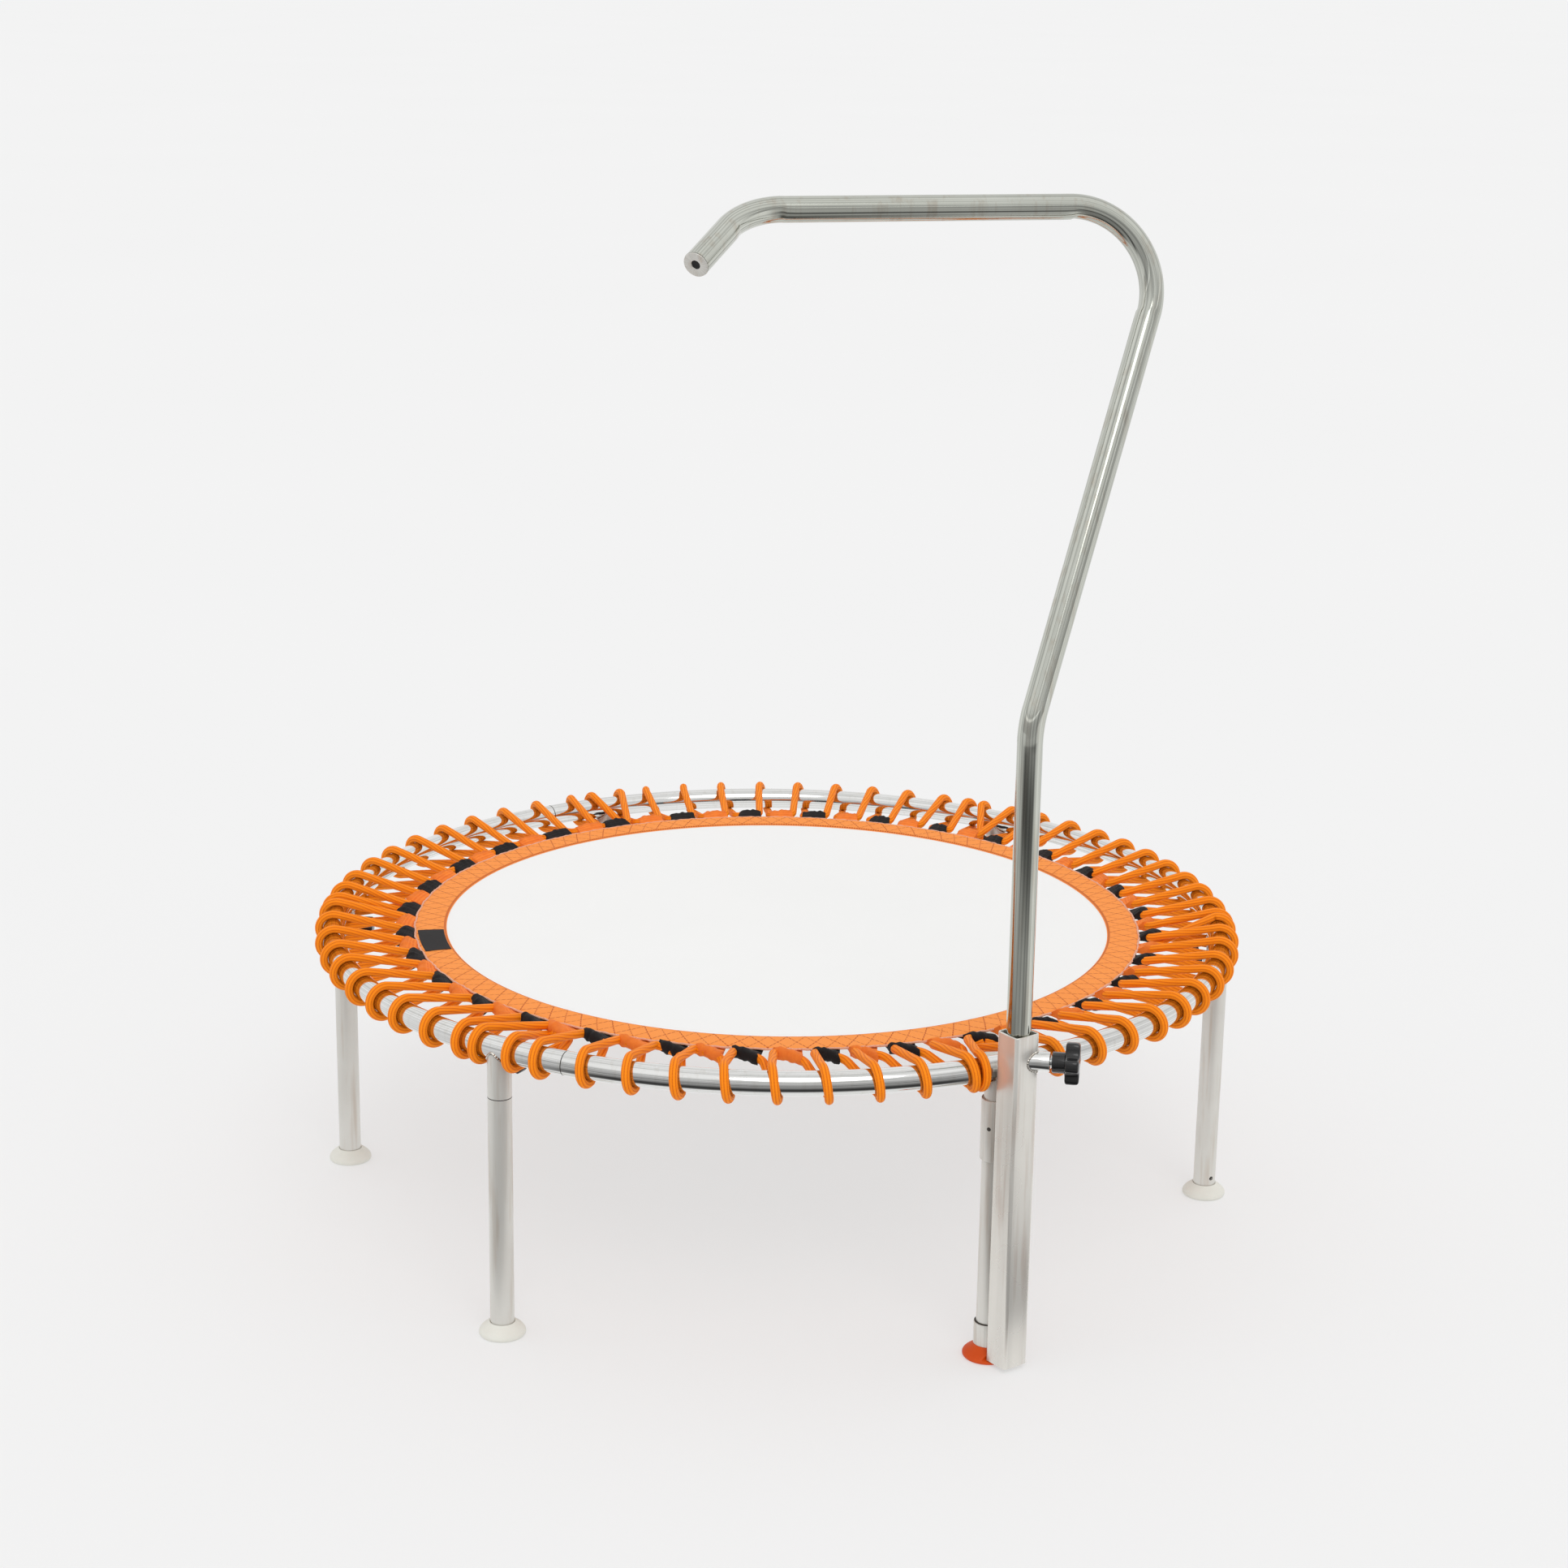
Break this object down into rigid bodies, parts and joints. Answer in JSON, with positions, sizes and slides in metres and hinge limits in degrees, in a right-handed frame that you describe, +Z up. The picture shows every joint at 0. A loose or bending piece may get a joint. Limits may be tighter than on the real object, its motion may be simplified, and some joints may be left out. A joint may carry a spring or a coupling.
{
  "type": "mini trampoline",
  "caption": "Round fitness mini trampoline: tubular steel ring on plug-in legs, mat laced with elastic cord, and a removable bent handlebar clamped in a square socket beside one leg.",
  "frame": {"origin": "centre of the mat's top face; the floor is 0.315 m below", "axes": "+Z up; the leg with the handlebar is on -Y; +X is the side its clamping knob points to"},
  "size_m": [1.0468, 1.1054, 1.1595],
  "materials": {
    "polished_steel": "polished",
    "satin_steel": "satin",
    "zinc_steel": "satin",
    "black_plastic": "matte",
    "ivory_rubber": "matte",
    "orange_rubber": "matte",
    "white_mesh": "matte",
    "peach_webbing": "matte",
    "orange_webbing": "matte",
    "black_webbing": "matte",
    "black_label": "matte",
    "orange_cord": "matte",
    "grey_plastic": "satin"
  },
  "bodies": {
    "frame": {"rim_segment_1": "polished_steel", "rim_segment_2": "polished_steel", "rim_segment_3": "polished_steel", "rim_joint_sleeves": "satin_steel", "leg_stub_1": "satin_steel", "leg_stub_2": "satin_steel", "leg_stub_3": "satin_steel", "leg_stub_4": "satin_steel", "leg_stub_5": "satin_steel", "leg_stub_6": "satin_steel", "leg_clamp_bosses": "satin_steel", "cord_sector_1": "orange_cord", "cord_sector_2": "orange_cord", "cord_sector_3": "orange_cord", "cord_sector_4": "orange_cord", "cord_sector_5": "orange_cord", "cord_sector_6": "orange_cord"},
    "bounce_mat": {"mat": "white_mesh", "border_band": "peach_webbing", "orange_tabs": "orange_webbing", "black_tabs": "black_webbing", "label_patch": "black_label"},
    "handle_leg_set": {"leg_1": "satin_steel", "foot_1": "orange_rubber", "upper_band": "polished_steel", "lower_band": "polished_steel", "socket_tube": "polished_steel", "socket_bottom_cap": "satin_steel", "clamp_barrel": "polished_steel"},
    "leg_set_2": {"leg_2": "satin_steel", "foot_2": "ivory_rubber"},
    "leg_set_3": {"leg_3": "satin_steel", "foot_3": "ivory_rubber"},
    "leg_set_4": {"leg_4": "satin_steel", "foot_4": "ivory_rubber"},
    "leg_set_5": {"leg_5": "satin_steel", "foot_5": "ivory_rubber"},
    "leg_set_6": {"leg_6": "satin_steel", "foot_6": "ivory_rubber"},
    "leg_screw_1": {"leg_knob_1_stud": "zinc_steel"},
    "leg_grip_1": {"leg_knob_1": "black_plastic"},
    "leg_screw_2": {"leg_knob_2_stud": "zinc_steel"},
    "leg_grip_2": {"leg_knob_2": "black_plastic"},
    "leg_screw_3": {"leg_knob_3_stud": "zinc_steel"},
    "leg_grip_3": {"leg_knob_3": "black_plastic"},
    "leg_screw_4": {"leg_knob_4_stud": "zinc_steel"},
    "leg_grip_4": {"leg_knob_4": "black_plastic"},
    "leg_screw_5": {"leg_knob_5_stud": "zinc_steel"},
    "leg_grip_5": {"leg_knob_5": "black_plastic"},
    "leg_screw_6": {"leg_knob_6_stud": "zinc_steel"},
    "leg_grip_6": {"leg_knob_6": "black_plastic"},
    "handle_screw": {"handle_knob_stud": "zinc_steel"},
    "handle_grip": {"handle_knob": "black_plastic"},
    "guide": {"handle_guide": "grey_plastic"},
    "handlebar": {"handle_tube": "polished_steel", "handle_end_cap": "grey_plastic"}
  },
  "joints": [
    {"name": "mat_bounce", "type": "slide", "parent": "frame", "child": "bounce_mat", "axis": [0, 0, -1], "range_m": [0, 0.12], "stiffness_N_per_m": 7000, "springref_m": -0.0015, "deforming": ["cord_sector_1", "cord_sector_2", "cord_sector_3", "cord_sector_4", "cord_sector_5", "cord_sector_6"]},
    {"name": "leg_1_pull", "type": "slide", "parent": "frame", "child": "handle_leg_set", "axis": [0, 0, -1], "range_m": [0, 0.03]},
    {"name": "leg_screw_1_advance", "type": "slide", "parent": "frame", "child": "leg_screw_1", "axis": [0, 1, 0], "range_m": [0, 0.00502]},
    {"name": "leg_screw_1_turn", "type": "hinge", "parent": "leg_screw_1", "child": "leg_grip_1", "pos_m": [0, -0.5, -0.0249], "axis": [0, 1, 0], "range_deg": [0, 1440]},
    {"name": "leg_2_pull", "type": "slide", "parent": "frame", "child": "leg_set_2", "axis": [0, 0, -1], "range_m": [0, 0.03]},
    {"name": "leg_screw_2_advance", "type": "slide", "parent": "frame", "child": "leg_screw_2", "axis": [-0.866, 0.5, 0], "range_m": [0, 0.00502]},
    {"name": "leg_screw_2_turn", "type": "hinge", "parent": "leg_screw_2", "child": "leg_grip_2", "pos_m": [0.43301, -0.25, -0.0249], "axis": [-0.866, 0.5, 0], "range_deg": [0, 1440]},
    {"name": "leg_3_pull", "type": "slide", "parent": "frame", "child": "leg_set_3", "axis": [0, 0, -1], "range_m": [0, 0.03]},
    {"name": "leg_screw_3_advance", "type": "slide", "parent": "frame", "child": "leg_screw_3", "axis": [-0.866, -0.5, 0], "range_m": [0, 0.00502]},
    {"name": "leg_screw_3_turn", "type": "hinge", "parent": "leg_screw_3", "child": "leg_grip_3", "pos_m": [0.43301, 0.25, -0.0249], "axis": [-0.866, -0.5, 0], "range_deg": [0, 1440]},
    {"name": "leg_4_pull", "type": "slide", "parent": "frame", "child": "leg_set_4", "axis": [0, 0, -1], "range_m": [0, 0.03]},
    {"name": "leg_screw_4_advance", "type": "slide", "parent": "frame", "child": "leg_screw_4", "axis": [0, -1, 0], "range_m": [0, 0.00502]},
    {"name": "leg_screw_4_turn", "type": "hinge", "parent": "leg_screw_4", "child": "leg_grip_4", "pos_m": [0, 0.5, -0.0249], "axis": [0, -1, 0], "range_deg": [0, 1440]},
    {"name": "leg_5_pull", "type": "slide", "parent": "frame", "child": "leg_set_5", "axis": [0, 0, -1], "range_m": [0, 0.03]},
    {"name": "leg_screw_5_advance", "type": "slide", "parent": "frame", "child": "leg_screw_5", "axis": [0.866, -0.5, 0], "range_m": [0, 0.00502]},
    {"name": "leg_screw_5_turn", "type": "hinge", "parent": "leg_screw_5", "child": "leg_grip_5", "pos_m": [-0.43301, 0.25, -0.0249], "axis": [0.866, -0.5, 0], "range_deg": [0, 1440]},
    {"name": "leg_6_pull", "type": "slide", "parent": "frame", "child": "leg_set_6", "axis": [0, 0, -1], "range_m": [0, 0.03]},
    {"name": "leg_screw_6_advance", "type": "slide", "parent": "frame", "child": "leg_screw_6", "axis": [0.866, 0.5, 0], "range_m": [0, 0.00502]},
    {"name": "leg_screw_6_turn", "type": "hinge", "parent": "leg_screw_6", "child": "leg_grip_6", "pos_m": [-0.43301, -0.25, -0.0249], "axis": [0.866, 0.5, 0], "range_deg": [0, 1440]},
    {"name": "handle_raise", "type": "slide", "parent": "handle_leg_set", "child": "guide", "axis": [0, 0, 1], "range_m": [0, 0.2]},
    {"name": "handle_swivel", "type": "hinge", "parent": "guide", "child": "handlebar", "pos_m": [0.00517, -0.52935, 0], "axis": [0, 0, 1], "continuous": true},
    {"name": "handle_screw_advance", "type": "slide", "parent": "handle_leg_set", "child": "handle_screw", "axis": [0.8192, -0.5736, 0], "range_m": [0, 0.00502]},
    {"name": "handle_screw_turn", "type": "hinge", "parent": "handle_screw", "child": "handle_grip", "pos_m": [0.00517, -0.52935, 0.017], "axis": [0.8192, -0.5736, 0], "range_deg": [0, 1440]}
  ],
  "couplings": [
    {"joint": "leg_screw_1_advance", "follows": "leg_screw_1_turn", "m_per_rad": 0.00019894},
    {"joint": "leg_screw_2_advance", "follows": "leg_screw_2_turn", "m_per_rad": 0.00019894},
    {"joint": "leg_screw_3_advance", "follows": "leg_screw_3_turn", "m_per_rad": 0.00019894},
    {"joint": "leg_screw_4_advance", "follows": "leg_screw_4_turn", "m_per_rad": 0.00019894},
    {"joint": "leg_screw_5_advance", "follows": "leg_screw_5_turn", "m_per_rad": 0.00019894},
    {"joint": "leg_screw_6_advance", "follows": "leg_screw_6_turn", "m_per_rad": 0.00019894},
    {"joint": "handle_screw_advance", "follows": "handle_screw_turn", "m_per_rad": 0.00019894}
  ]
}
